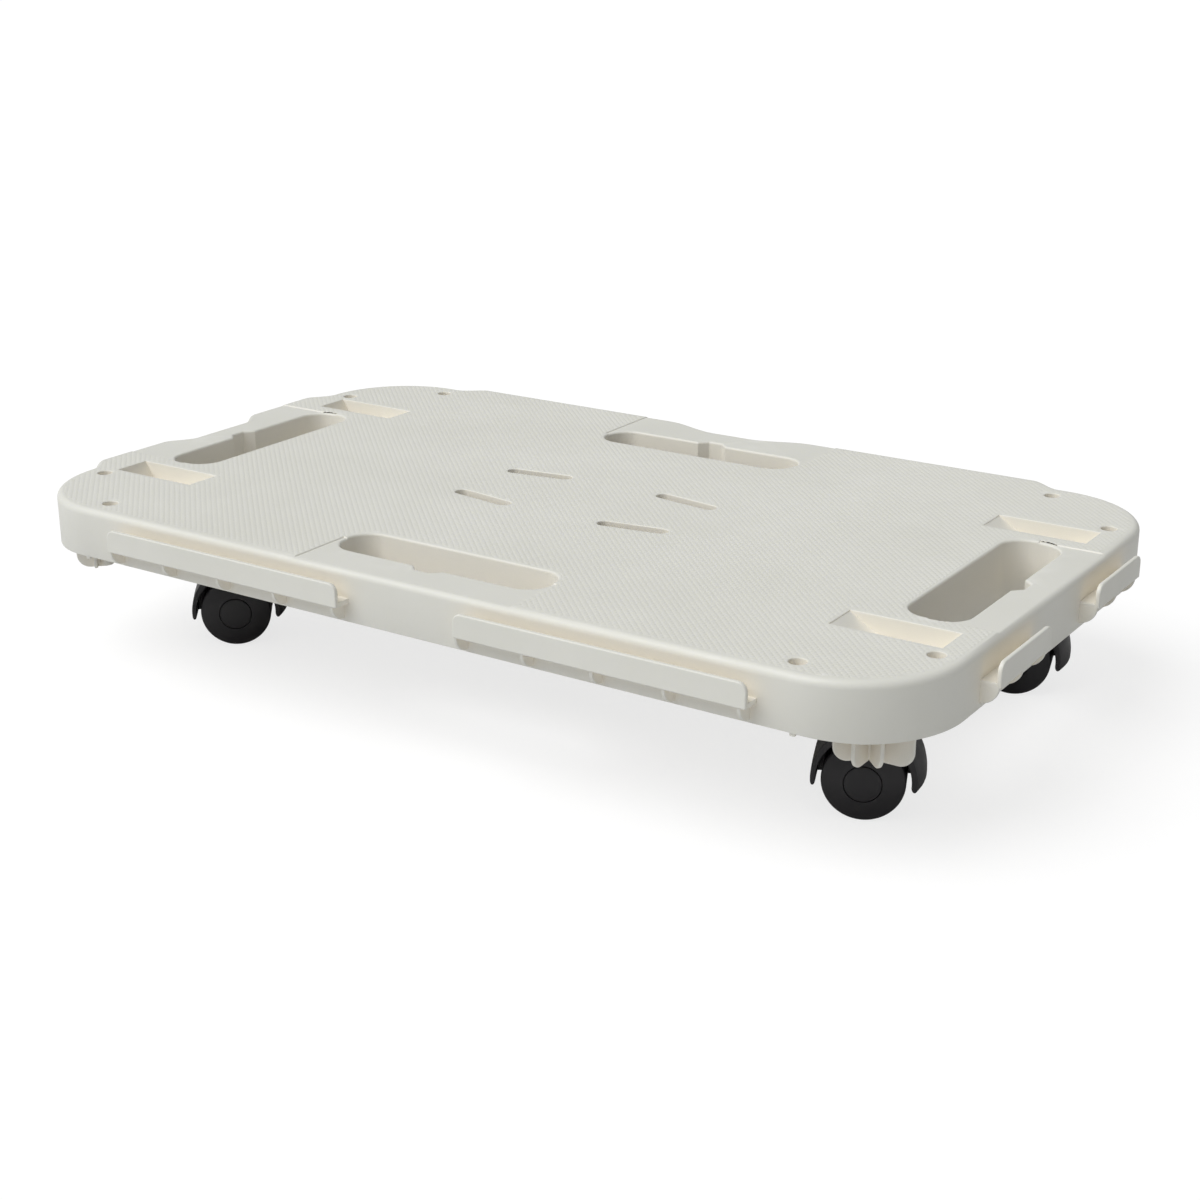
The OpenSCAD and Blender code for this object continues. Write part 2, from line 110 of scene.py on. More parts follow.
RIB_T = 2
RIB_Z = PLATE_Z - 20
RIB_ROWS = (-80, -40, 0, 40, 80)                   # places of the ribs along x
RIB_COLUMNS = range(-180, 181, 45)                 # places of the ribs along y
FOOT_AT = (254.2, 138.2)
FOOT_Z = 48.6
FOOT_R = 8
BOSS_R = 11
BOSS_IN = 6.02              # inner radius, round the stem's socket
BOSS_Z = 53.4
BOSS_CEILING = 91.2         # upper end of the hole for the socket
BRACKET = 26                # reach of the brackets from a caster's swivel axis
NUB_ANGLES = (20, 88)       # places of the nubs round a corner

WHEEL_R = 21
WHEEL_IN = 3.4
CAP_HALF_W = 23.9
CAP_R = 9.3
DOME_R = 53.9
HOOD_HALF_W = 19.6
AXLE_BORE = 2.52
STEM_BORE = 4.02


# ---- outlines: lists of (x, y) that run counter-clockwise ----------------------------------------

def smooth(t):
    return t * t * (3 - 2 * t)


def arc(cx, cy, r, start, end, steps):
    angles = [math.radians(start + (end - start) * i / steps) for i in range(steps + 1)]
    return [(cx + r * math.cos(a), cy + r * math.sin(a)) for a in angles]


def bezier(a, b, c, d, steps):
    """Points of a cubic curve, both ends included."""
    points = np.array([a, b, c, d], float)
    out = []
    for i in range(steps + 1):
        t = i / steps
        weights = np.array([(1 - t) ** 3, 3 * t * (1 - t) ** 2, 3 * t * t * (1 - t), t ** 3])
        out.append(tuple(weights @ points))
    return out


def round_corners(corners, steps=8):
    """Outline through corners (x, y, radius), with an arc at each corner whose radius isn't 0."""
    outline = []
    for i, (x, y, r) in enumerate(corners):
        if r == 0:
            outline.append((x, y))
            continue
        here = np.array([x, y], float)
        before = np.array(corners[i - 1][:2], float) - here
        after = np.array(corners[(i + 1) % len(corners)][:2], float) - here
        before /= np.linalg.norm(before)
        after /= np.linalg.norm(after)
        half = math.acos(before @ after) / 2
        middle = (before + after) / np.linalg.norm(before + after)
        centre = here + middle * r / math.sin(half)
        first = here + before * r / math.tan(half) - centre
        last = here + after * r / math.tan(half) - centre
        start = math.atan2(first[1], first[0])
        turn = (math.atan2(last[1], last[0]) - start + math.pi) % (2 * math.pi) - math.pi
        for k in range(steps + 1):
            a = start + turn * k / steps
            outline.append((centre[0] + r * math.cos(a), centre[1] + r * math.sin(a)))
    return outline


def mitres(outline):
    """For each point, the vector that moves it outwards when the outline grows by 1."""
    p = np.array(outline, float)
    edge = np.roll(p, -1, 0) - p
    edge /= np.linalg.norm(edge, axis=1)[:, None]
    normal = np.stack([edge[:, 1], -edge[:, 0]], 1)
    both = normal + np.roll(normal, 1, 0)
    return both / (1 + (normal * np.roll(normal, 1, 0)).sum(1))[:, None]


def ring(outline, outwards, offset, z):
    """The outline grown by offset, as 3D points at height z. Both may differ from point to point."""
    p = np.array(outline, float) + np.array(outwards) * np.reshape(offset, (-1, 1))
    return np.column_stack([p, np.broadcast_to(z, len(p))])


def inside(points, outline):
    """Which points lie inside the outline."""
    x, y = points[:, 0], points[:, 1]
    found = np.zeros(len(points), bool)
    for (x0, y0), (x1, y1) in zip(outline, np.roll(outline, -1, 0)):
        if y0 != y1:
            crosses = (y0 > y) != (y1 > y)
            found ^= crosses & (x < x0 + (y - y0) * (x1 - x0) / (y1 - y0))
    return found


def distance(points, segments):
    """Distance of each point to the nearest of the segments, given as rows x0, y0, x1, y1."""
    nearest = np.full(len(points), 1e9)
    for x0, y0, x1, y1 in segments:
        start = np.array([x0, y0])
        run = np.array([x1 - x0, y1 - y0])
        t = np.clip((points - start) @ run / (run @ run), 0, 1)
        gap = points - start - t[:, None] * run
        nearest = np.minimum(nearest, (gap * gap).sum(1))
    return np.sqrt(nearest)


def segments_of(outline, closed=True):
    p = np.array(outline, float)
    rows = np.hstack([p, np.roll(p, -1, 0)])
    return rows if closed else rows[:-1]


# ---- shapes: points and faces of one piece -------------------------------------------------------

class Shape:
    """Faces in millimetres. Points that coincide become one vertex."""

    def __init__(self):
        self.index = {}
        self.points = []
        self.faces = []
        self.flat = []

    def vertex(self, point):
        key = (round(point[0], 3), round(point[1], 3), round(point[2], 3))
        if key not in self.index:
            self.index[key] = len(self.points)
            self.points.append(key)
        return self.index[key]

    def face(self, points, flat=False):
        ids = []
        for point in points:
            i = self.vertex(point)
            if i not in ids:
                ids.append(i)
        if len(ids) > 2:
            self.faces.append(ids)
            self.flat.append(flat)

    def fresh(self):
        """The next faces share no vertex with the earlier ones."""
        self.index = {}

    def skin(self, rings, closed=True):
        """Quads between rings that have the same number of points."""
        for a, b in zip(rings, rings[1:]):
            count = len(a)
            for i in range(count if closed else count - 1):
                j = (i + 1) % count
                self.face([a[i], a[j], b[j], b[i]])

    def slab(self, outline, thickness, edge, place):
        """A plate with this outline and rounded edges. place maps (x, y, height) to the frame."""
        self.fresh()
        outwards = mitres(outline)
        steps = 3
        rings = []
        for side in (-1, 1):
            half = []
            for k in range(steps + 1):
                a = math.pi / 2 * k / steps
                z = side * (thickness / 2 - edge * (1 - math.cos(a)))
                half.append(ring(outline, outwards, -edge * (1 - math.sin(a)), z))
            rings += half if side < 0 else half[::-1]
        rings = [[place(*p) for p in r] for r in rings]
        self.skin(rings)
        self.face(rings[0], flat=True)
        self.face(rings[-1], flat=True)

    def lathe(self, profile, place, steps=72):
        """Turns (radius, height) points round an axis. place maps (x, y, height) to the frame."""
        self.fresh()
        rings = []
        for r, h in profile:
            angles = [2 * math.pi * i / steps for i in range(steps)]
            rings.append([place(r * math.cos(a), r * math.sin(a), h) for a in angles])
        self.skin(rings)

    def build(self, name, body, material, slot, sharp=40):
        """Makes the piece, with its faces turned outwards, and lets it ride on a body."""
        mesh = bpy.data.meshes.new(name)
        mesh.from_pydata([tuple(c * MM for c in p) for p in self.points], [], self.faces)
        work = bmesh.new()
        work.from_mesh(mesh)
        bmesh.ops.recalc_face_normals(work, faces=work.faces)
        work.to_mesh(mesh)
        work.free()
        mesh.set_sharp_from_angle(angle=math.radians(sharp))
        mesh.polygons.foreach_set("use_smooth", [not flat for flat in self.flat])
        mesh.materials.append(material)
        piece = bpy.data.objects.new(name, mesh)
        bpy.context.scene.collection.objects.link(piece)
        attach(piece, body)
        return piece


def triangulate(points, edges):
    """Constrained triangles. Returns points, triangles, source point of each, pieces of each edge."""
    flat = [Vector((float(x), float(y))) for x, y in points]
    out, out_edges, faces, from_points, from_edges, _ = delaunay_2d_cdt(flat, edges, [], 0, 1e-4)
    xy = np.array([tuple(p) for p in out], float)
    for i, sources in enumerate(from_points):
        if sources:
            xy[i] = points[sources[0]]
    parts = {}
    for (a, b), sources in zip(out_edges, from_edges):
        for source in sources:
            parts.setdefault(source, set()).update((a, b))
    return xy, np.array([f for f in faces if len(f) == 3]), from_points, parts


# ---- deck: outline -------------------------------------------------------------------------------

SIDES = [                   # outward direction, half run, distance from the middle, hold, lip
    ((0, -1), DECK_L / 2 - CORNER_R, DECK_W / 2, LONG_HOLD, None),
    ((1, 0), DECK_W / 2 - CORNER_R, DECK_L / 2, SHORT_HOLD, None),
    ((0, 1), DECK_L / 2 - CORNER_R, DECK_W / 2, LONG_HOLD, BACK_LIP),
    ((-1, 0), DECK_W / 2 - CORNER_R, DECK_L / 2, SHORT_HOLD, SIDE_LIP),
]


def on_side(side, along, out):
    """The plan point at a distance along a side, counter-clockwise, and at a distance outwards."""
    dx, dy = side[0]
    return (dx * out - dy * along, dy * out + dx * along)


def skirt_end(point):
    """Height of the skirt's lower edge at a plan point."""
    if point[1] > 16 - DECK_W / 2:
        return SKIRT_Z
    past = (abs(point[0]) - DECK_L / 2 + CORNER_R) / 35
    return SKIRT_Z + FRONT_RAISE * (1 - min(max(past, 0), 1))


def lip_reach(lip, along):
    """How far the outline stands out at a place along a side, and its slope."""
    if lip is None:
        return 0, 0
    start, end, ramp_in, ramp_out = lip
    s = abs(along)
    sign = 1 if along > 0 else -1
    if s < start:
        t = min(max((s - start + ramp_in) / ramp_in, 0), 1)
        return REACH * smooth(t), sign * REACH * 6 * t * (1 - t) / ramp_in
    t = min(max(1 - (s - end) / ramp_out, 0), 1)
    return REACH * smooth(t), -sign * REACH * 6 * t * (1 - t) / ramp_out


def deck_outline():
    """Columns round the deck: outline with lips, its outward vectors, the plain outline and its own,
    and whether the column is in a smooth step."""
    rows = []
    for side in SIDES:
        direction, half, out, _, lip = side
        places = {-half, half, 0}
        for s in (-1, 1):
            places |= {s * STEP_HALF, s * (STEP_HALF + STEP_RUN)}
            if lip:
                start, end, ramp_in, ramp_out = lip
                places |= {s * (start - ramp_in * k / 16) for k in range(17)}
                places |= {s * (end + ramp_out * k / 12) for k in range(13)}
        for along in sorted(places):
            stands, slope = lip_reach(lip, along)
            true = np.array(on_side(side, -slope, 1))
            low = abs(along) <= STEP_HALF
            rows.append((on_side(side, along, out + stands), true / np.linalg.norm(true),
                         on_side(side, along, out), direction, low))
        centre = on_side(side, half, out - CORNER_R)
        first = math.degrees(math.atan2(direction[1], direction[0]))
        steps = 24
        for x, y in arc(0, 0, 1, first, first + 90, steps)[1:-1]:
            point = (centre[0] + CORNER_R * x, centre[1] + CORNER_R * y)
            rows.append((point, (x, y), point, (x, y), False))
    return [np.array(column, float) for column in zip(*rows)]


def step_drop(points):
    """How much lower the top face is at each plan point."""
    points = np.asarray(points, float)
    drop = np.zeros(len(points))
    for side in SIDES:
        (dx, dy), _, _, hold, _ = side
        along = points @ np.array([-dy, dx])
        out = points @ np.array([dx, dy])
        depth = np.minimum(STEP_HALF + STEP_RUN - abs(along), out - hold[2] + STEP_RUN)
        drop = np.maximum(drop, STEP_D * np.clip(depth / STEP_RUN, 0, 1))
    return drop


# ---- deck: openings ------------------------------------------------------------------------------

def hold_outline(side):
    """A hand hold in plan. Its outer wall has a notch, and the step's ends have their own points."""
    length, width, out = side[3]
    x, y = length / 2, width / 2
    n, d = NOTCH_W / 2, NOTCH_D
    corners = [
        (-x, -y, HOLD_R), (-n, -y, NOTCH_R), (-n + d, -y - d, NOTCH_R), (n - d, -y - d, NOTCH_R),
        (n, -y, NOTCH_R),
        (x, -y, HOLD_R), (x, 0, 0), (x, STEP_RUN, 0), (x, y, HOLD_R),
        (-x, y, HOLD_R), (-x, STEP_RUN, 0), (-x, 0, 0),
    ]
    return [on_side(side, px, out - py) for px, py in round_corners(corners)]


def pocket_floor():
    """Side view of a pocket's floor, as (x, depth): a long shallow arc and a steep outer wall."""
    low = POCKET_IN + 0.68 * (POCKET_OUT - POCKET_IN)
    half = low - POCKET_IN
    r = (half * half + POCKET_D * POCKET_D) / (2 * POCKET_D)
    steps = 14
    wall = POCKET_OUT - 8.5
    points = []
    for i in range(steps + 1):
        x = POCKET_IN + (wall - 1 - POCKET_IN) * i / steps
        z = r - POCKET_D - math.sqrt(r * r - (x - low) ** 2)
        points.append((x, min(z, -SOFT_EDGE)))
    x, z = points[-1]
    points += bezier((x, z), (wall + 1, z + 0.3), (wall + 1.4, z + 1), (wall + 2.4, z + 3), 5)[1:]
    points.append((POCKET_OUT, -SOFT_EDGE))
    return points


def pocket_loop(floor, half_w):
    """Plan loop of a pocket with a point on both long sides for each point of its floor."""
    near = [(x, POCKET_Y - half_w) for x, _ in floor]
    far = [(x, POCKET_Y + half_w) for x, _ in floor[::-1]]
    return near + far


def mirrored(points, sx, sy):
    return np.array(points, float) * (sx, sy, 1)


def slot_outline(sx, sy):
    """A slanted stadium."""
    a = math.radians(-SLOT_SLANT * sx * sy)
    r = SLOT_W / 2
    run = (SLOT_L - SLOT_W) / 2
    plain = arc(run, 0, r, -90, 90, 12) + arc(-run, 0, r, 90, 270, 12)
    return [(sx * SLOT_AT[0] + x * math.cos(a) - y * math.sin(a),
             sy * SLOT_AT[1] + x * math.sin(a) + y * math.cos(a)) for x, y in plain]


def counter_clockwise(outline):
    p = np.array(outline, float)
    q = np.roll(p, -1, 0)
    area = (p[:, 0] * q[:, 1] - q[:, 0] * p[:, 1]).sum()
    return p if area > 0 else p[::-1].copy()


QUARTERS = [(1, 1), (-1, 1), (-1, -1), (1, -1)]


def through_openings():
    """(outline, edge radius, height of the wall's lower end) of every opening with a wall round it."""
    found = [(hold_outline(side), HOLD_EDGE, HOLD_Z) for side in SIDES]
    for sx, sy in QUARTERS:
        found.append((slot_outline(sx, sy), SOFT_EDGE, PLATE_Z - 6))
        for x, y in HOLES:
            found.append((arc(sx * x, sy * y, HOLE_R, 0, 345, 23), SOFT_EDGE, PLATE_Z - 10))
    return [(counter_clockwise(outline), edge, z) for outline, edge, z in found]


def mouth_rings(outline, edge, steps):
    """The smooth border and the rounded upper edge of an opening."""
    outwards = mitres(outline)
    top = TOP - step_drop(outline)
    rings = [ring(outline, outwards, edge + MARGIN, top)]
    for k in range(steps + 1):
        a = math.pi / 2 * k / steps
        rings.append(ring(outline, outwards, edge * (1 - math.sin(a)), top - edge * (1 - math.cos(a))))
    return rings


def wall_rings(outline, top_ring, z):
    """From an opening's inner wall round its lower edge and up its outer wall to the plate."""
    outwards = mitres(outline)
    b = BURR
    rings = [top_ring, ring(outline, outwards, 0, z + b)]
    for offset, height in [(b * 0.3, z + b * 0.3), (b, z), (RIB_T - b, z),
                           (RIB_T - b * 0.3, z + b * 0.3), (RIB_T, z + b), (RIB_T, PLATE_Z)]:
        rings.append(ring(outline, outwards, offset, height))
    return rings


# ---- deck: tread ---------------------------------------------------------------------------------

def lattice(i, j):
    """Plan point of the tread's crossed grooves, which run at 45 degrees to the sides."""
    u, v = i * TREAD_PITCH, j * TREAD_PITCH
    return np.stack([(u - v) * math.sqrt(0.5), (u + v) * math.sqrt(0.5)], -1)


def tread_height(points):
    """Height of the low pyramids between the grooves."""
    u = (points[:, 0] + points[:, 1]) * math.sqrt(0.5) / TREAD_PITCH
    v = (points[:, 1] - points[:, 0]) * math.sqrt(0.5) / TREAD_PITCH
    to_u = np.minimum(u % 1, 1 - u % 1)
    to_v = np.minimum(v % 1, 1 - v % 1)
    return 2 * TREAD_H * np.minimum(to_u, to_v)


def seams():
    """Lower and upper line of each smooth step, from the rim to its hand hold."""
    found = []
    for side in SIDES:
        _, _, out, hold, lip = side
        end = hold[0] / 2 + HOLD_EDGE + MARGIN
        for s in (-1, 1):
            for grow in (0, STEP_RUN):
                along = s * (STEP_HALF + grow)
                radius = EDGE_R if grow else EDGE_R - STEP_D
                rim = out + lip_reach(lip, along)[0] - radius - MARGIN
                inner = hold[2] - grow
                found.append([on_side(side, along, rim), on_side(side, along, inner),
                              on_side(side, s * end, inner)])
    return found


def deck_top(shape, loops):
    """The tread and the smooth areas between the loops. Returns each loop with the points that the
    tread adds to it."""
    rim = loops[0][:, :2]
    holes = [loop[:, :2] for loop in loops[1:]]
    lines = seams()
    upper_lines = lines[1::2]
    edges_xy = np.vstack([segments_of(p) for p in [rim] + holes]
                         + [segments_of(p, closed=False) for p in upper_lines])

    def in_tread(points):
        ok = inside(points, rim) & (step_drop(points) == 0)
        for hole in holes:
            ok &= ~inside(points, hole)
        return ok

    count = int((DECK_L + DECK_W) / TREAD_PITCH / 2) + 8
    i, j = (g.ravel() for g in np.meshgrid(np.arange(-count, count), np.arange(-count, count)))
    centre = lattice(i + 0.5, j + 0.5)
    near = (abs(centre[:, 0]) < deck_hi.x) & (abs(centre[:, 1]) < deck_hi.y)
    i, j, centre = i[near], j[near], centre[near]
    reach = TREAD_PITCH * 0.72
    gap = distance(centre, edges_xy)
    corners = [lattice(i + a, j + b) for a, b in [(0, 0), (1, 0), (1, 1), (0, 1)]]
    ok = [in_tread(c) for c in corners + [centre]]
    whole = (gap > reach) & ok[4]
    cut = (gap <= reach) & np.any(ok, axis=0)

    apex_z = TOP + TREAD_H
    for k in np.nonzero(whole)[0]:
        apex = (*centre[k], apex_z)
        around = [(*c[k], TOP) for c in corners]
        for m in range(4):
            shape.face([around[m], around[(m + 1) % 4], apex], flat=True)
    whole_cells = set(zip(i[whole].tolist(), j[whole].tolist()))

    points, edges = [], []
    loop_edges = []
    for loop in [rim] + holes:
        base = len(points)
        points += [tuple(p) for p in loop]
        loop_edges.append(range(len(edges), len(edges) + len(loop)))
        edges += [(base + k, base + (k + 1) % len(loop)) for k in range(len(loop))]
    for line in lines:
        base = len(points)
        points += [tuple(p) for p in line]
        edges += [(base, base + 1), (base + 1, base + 2)]
    known = {}

    def point_id(key, xy):
        if key not in known:
            known[key] = len(points)
            points.append(tuple(xy))
        return known[key]

    seen = set()
    for k in np.nonzero(cut)[0]:
        cell = (int(i[k]), int(j[k]))
        ids = []
        for (a, b), c in zip([(0, 0), (1, 0), (1, 1), (0, 1)], corners):
            ids.append(point_id((cell[0] + a, cell[1] + b), c[k]))
        tip = point_id((cell[0] + 0.5, cell[1] + 0.5), centre[k])
        good = [ok[m][k] for m in range(4)]
        for m in range(4):
            n = (m + 1) % 4
            if good[m] or good[n]:
                seen.add((min(ids[m], ids[n]), max(ids[m], ids[n])))
            if good[m] or ok[4][k]:
                seen.add((ids[m], tip))
    edges += sorted(seen)

    xy, triangles, sources, parts = triangulate(points, edges)
    middle = xy[triangles].mean(1)
    keep = inside(middle, rim)
    for hole in holes:
        keep &= ~inside(middle, hole)
    u = np.floor((middle[:, 0] + middle[:, 1]) * math.sqrt(0.5) / TREAD_PITCH).astype(int)
    v = np.floor((middle[:, 1] - middle[:, 0]) * math.sqrt(0.5) / TREAD_PITCH).astype(int)
    keep &= np.array([(a, b) not in whole_cells for a, b in zip(u.tolist(), v.tolist())])
    soft = np.clip(distance(xy, edges_xy) / 0.4, 0, 1) * in_tread(xy)
    z = TOP - step_drop(xy) + tread_height(xy) * soft
    loop_z = np.concatenate([loop[:, 2] for loop in loops])
    for k, source in enumerate(sources):
        for s in source:
            if s < len(loop_z):
                z[k] = loop_z[s]
    xyz = np.column_stack([xy, z])
    for tri in triangles[keep]:
        shape.face(xyz[tri], flat=True)

    refined = []
    for loop, edge_ids in zip(loops, loop_edges):
        columns = []
        for k, edge in enumerate(edge_ids):
            start, end = loop[k], loop[(k + 1) % len(loop)]
            run = (end - start)[:2]
            extra = sorted(((xyz[p][:2] - start[:2]) @ run / (run @ run), p) for p in parts.get(edge, ()))
            inner = [(*xyz[p][:2], start[2] + (end[2] - start[2]) * t)
                     for t, p in extra if 1e-4 < t < 1 - 1e-4]
            columns.append([tuple(start)] + inner)
        refined.append(columns)
    return refined


def join_refined(shape, columns, lower):
    """The first strip below the top face, whose upper edge has extra points."""
    count = len(columns)
    for k in range(count):
        after = columns[(k + 1) % count][0]
        shape.face(columns[k] + [after, lower[(k + 1) % count], lower[k]])


# ---- deck: whole shell ---------------------------------------------------------------------------

def deck_shell():
    shape = Shape()
    outer, outer_n, base, base_n, low = deck_outline()
    radius = EDGE_R - STEP_D * low
    top = TOP - STEP_D * low
    steps = 8
    rim = [ring(outer, outer_n, -radius - MARGIN, top)]
    for k in range(steps + 1):
        a = math.pi / 2 * k / steps
        rim.append(ring(outer, outer_n, -radius * (1 - math.sin(a)), top - radius * (1 - math.cos(a))))
    rim.append(ring(outer, outer_n, 0, TOP - LIP_T))
    rim.append(ring(base, base_n, 0, TOP - LIP_T))
    b = BURR
    end = np.array([skirt_end(point) for point in base])
    for offset, up in [(0, b), (-b * 0.3, b * 0.3), (-b, 0), (b - SKIRT_T, 0), (b * 0.3 - SKIRT_T, b * 0.3),
                       (-SKIRT_T, b)]:
        rim.append(ring(base, base_n, offset, end + up))
    rim.append(ring(base, base_n, -SKIRT_T, PLATE_Z))

    openings = []
    lower_loops = [rim[-1]]
    for outline, edge, z in through_openings():
        mouth = mouth_rings(outline, edge, 5)
        wall = wall_rings(outline, mouth[-1], z)
        openings.append((mouth, wall))
        lower_loops.append(wall[-1])

    floor = pocket_floor()
    lower_floor = [(x, z - RIB_T) for x, z in floor]
    lower_floor[0] = (POCKET_IN - RIB_T, lower_floor[0][1])
    lower_floor[-1] = (POCKET_OUT + RIB_T, lower_floor[-1][1])
    pocket_mouth = mouth_rings(pocket_loop(floor, POCKET_W / 2), SOFT_EDGE, 4)
    under = pocket_loop(lower_floor, POCKET_W / 2 + RIB_T)
    pockets = []
    for sx, sy in QUARTERS:
        mouth = [mirrored(r, sx, sy) for r in pocket_mouth]
        pockets.append(mouth)
        pocket_body(shape, mouth[-1], floor)
        lower_loops.append(mirrored([(x, y, PLATE_Z) for x, y in under], sx, sy))
        pocket_body(shape, lower_loops[-1], lower_floor)

    loops = [rim[0]] + [mouth[0] for mouth, _ in openings] + [mouth[0] for mouth in pockets]
    refined = deck_top(shape, loops)
    join_refined(shape, refined[0], rim[1])
    shape.skin(rim[1:])
    for columns, (mouth, wall) in zip(refined[1:], openings):
        join_refined(shape, columns, mouth[1])
        shape.skin(mouth[1:])
        shape.skin(wall)
    for columns, mouth in zip(refined[1 + len(openings):], pockets):
        join_refined(shape, columns, mouth[1])
        shape.skin(mouth[1:])
    deck_underside(shape, lower_loops)
    return shape


def pocket_body(shape, loop, floor):
    """Walls and floor below a pocket's loop, which has the floor's points along both long sides."""
    near, far = loop[:len(floor)], loop[len(floor):][::-1]
    low_near = [(p[0], p[1], min(TOP + z, p[2])) for p, (_, z) in zip(near, floor)]
    low_far = [(p[0], p[1], min(TOP + z, p[2])) for p, (_, z) in zip(far, floor)]
    shape.skin([near, low_near], closed=False)
    shape.skin([far, low_far], closed=False)
    shape.skin([low_near, low_far], closed=False)
    for end in (0, -1):
        shape.face([near[end], far[end], low_far[end], low_near[end]])


def deck_underside(shape, loops):
    """The plate's lower face, between the skirt and the walls of the openings."""
    points, edges = [], []
    for loop in loops:
        base = len(points)
        points += [tuple(p[:2]) for p in loop]
        edges += [(base + k, base + (k + 1) % len(loop)) for k in range(len(loop))]
    xy, triangles, _, _ = triangulate(points, edges)
    middle = xy[triangles].mean(1)
    keep = inside(middle, loops[0][:, :2])
    for loop in loops[1:]:
        keep &= ~inside(middle, loop[:, :2])
    for tri in triangles[keep]:
        shape.face([(*xy[p], PLATE_Z) for p in tri], flat=True)


# ---- deck: rails, lips' hooks, ribs, feet and bosses ---------------------------------------------

def rail(shape, side, middle, length, ribs):
    """An upturned rail: an upright plate, a floor and rounded ribs below it."""
    out = side[2]

    def upright(along, z, height):
        return (*on_side(side, middle + along, out + REACH - RAIL_T / 2 + height), z)

    def level(along, reach, height):
        return (*on_side(side, middle + along, out + reach), RAIL_Z + RAIL_FLOOR / 2 + height)

    half = length / 2
    top = RAIL_Z + RAIL_H
    plate = [(-half, RAIL_Z, 1), (half, RAIL_Z, 1), (half, top, 5), (-half, top, 5)]
    shape.slab(round_corners(plate), RAIL_T, 0.7, upright)
    inner = REACH - RAIL_T + 0.8
    floor = [(-half + 0.1, -1, 0), (half - 0.1, -1, 0), (half - 0.1, inner, 0), (-half + 0.1, inner, 0)]
    shape.slab(round_corners(floor), RAIL_FLOOR, 0.4, level)
    r = REACH - 1
    web = [(-1, 0.5), (-1, -r)] + arc(0, 0, r, -90, 0, 14) + [(r, 0.5)]
    for k in range(ribs):
        place = RIB_T / 2 - half + k * (length - RIB_T - LAST_RIB_INSET) / (ribs - 1)

        def gusset(reach, z, height):
            return (*on_side(side, middle + place + height, out + reach), RAIL_Z + 0.4 + z)

        shape.slab(web, RIB_T, 0.4, gusset)


def hook(shape, side):
    """The hooks that hang from the lips of a side."""
    start, end, _, _ = side[4]
    out = side[2] + REACH - RAIL_T / 2 - 0.15

    def upright(along, z, height):
        return (*on_side(side, along, out + height), z)

    low, high = TOP - LIP_DROP, TOP - LIP_T + 0.3
    for s in (-1, 1):
        a, b = sorted((s * start, s * end))
        plate = [(a, low, 1), (b, low, 1), (b, high, 0), (a, high, 0)]
        shape.slab(round_corners(plate, 4), RAIL_T, 0.5, upright)


def deck_rails():
    shape = Shape()
    for side, rails in zip(SIDES, (FRONT_RAILS, SIDE_RAILS)):
        for middle, length, ribs in rails:
            rail(shape, side, middle, length, ribs)
    for side in SIDES[2:]:
        hook(shape, side)
    return shape


def below_deck(x, y, z):
    """The point, moved down into the plate or into a pocket's shell if it's higher."""
    ceiling = PLATE_Z + 1
    if abs(abs(y) - POCKET_Y) < POCKET_W / 2 + RIB_T - 0.7 and POCKET_IN < abs(x) < POCKET_OUT:
        floor = pocket_floor()
        depth = np.interp(abs(x), [p[0] for p in floor], [p[1] for p in floor])
        ceiling = min(ceiling, TOP - RIB_T / 2 + depth)
    return (x, y, min(z, ceiling))


def upright_rib(shape, start, angle, length, z, r=0.8, edge=0.5):
    """A rib below the plate from a plan point in a direction, with a rounded lower outer corner."""
    c, s = math.cos(math.radians(angle)), math.sin(math.radians(angle))

    def place(along, height, off):
        return below_deck(start[0] + along * c - off * s, start[1] + along * s + off * c, height)

    steps = max(1, int(length / 1.5)) if length < 30 else 1
    top = [(length * (1 - k / steps), PLATE_Z + 1.5, 0) for k in range(steps + 1)]
    shape.slab(round_corners([(0, z, 0), (length, z, r)] + top, 8), RIB_T, edge, place)


def spans(low, high, gaps):
    """What is left of low to high outside the gaps."""
    left = [(low, high)]
    for a, b in gaps:
        left = [part for x, y in left for part in ((x, min(y, a)), (max(x, b), y)) if part[1] > part[0]]
    return left


def rib_grid(shape):
    """Crossed ribs below the plate, with gaps at the hand holds and slots."""
    skin = 1.3
    for y in RIB_ROWS:
        _, width, out = SHORT_HOLD
        near, far = out - width / 2 - 1, out + width / 2 + 1 + NOTCH_D * (y == 0)
        gaps = [(near, far), (-far, -near)] if abs(y) < SHORT_HOLD[0] / 2 else []
        for a, b in spans(skin - DECK_L / 2, DECK_L / 2 - skin, gaps):
            upright_rib(shape, (a, y), 0, b - a, RIB_Z)
    for x in RIB_COLUMNS:
        _, width, out = LONG_HOLD
        near, far = out - width / 2 - 1, out + width / 2 + 1 + NOTCH_D * (x == 0)
        gaps = [(near, far), (-far, -near)] if abs(x) < LONG_HOLD[0] / 2 else []
        if abs(x) == 45:
            half = SLOT_W / 2 + 1
            middle = SLOT_AT[1] + (SLOT_AT[0] - 45) * math.tan(math.radians(SLOT_SLANT))
            gaps += [(middle - half, middle + half), (-middle - half, half - middle)]
        for a, b in spans(skin - DECK_W / 2, DECK_W / 2 - skin, gaps):
            upright_rib(shape, (x, a), 90, b - a, RIB_Z)


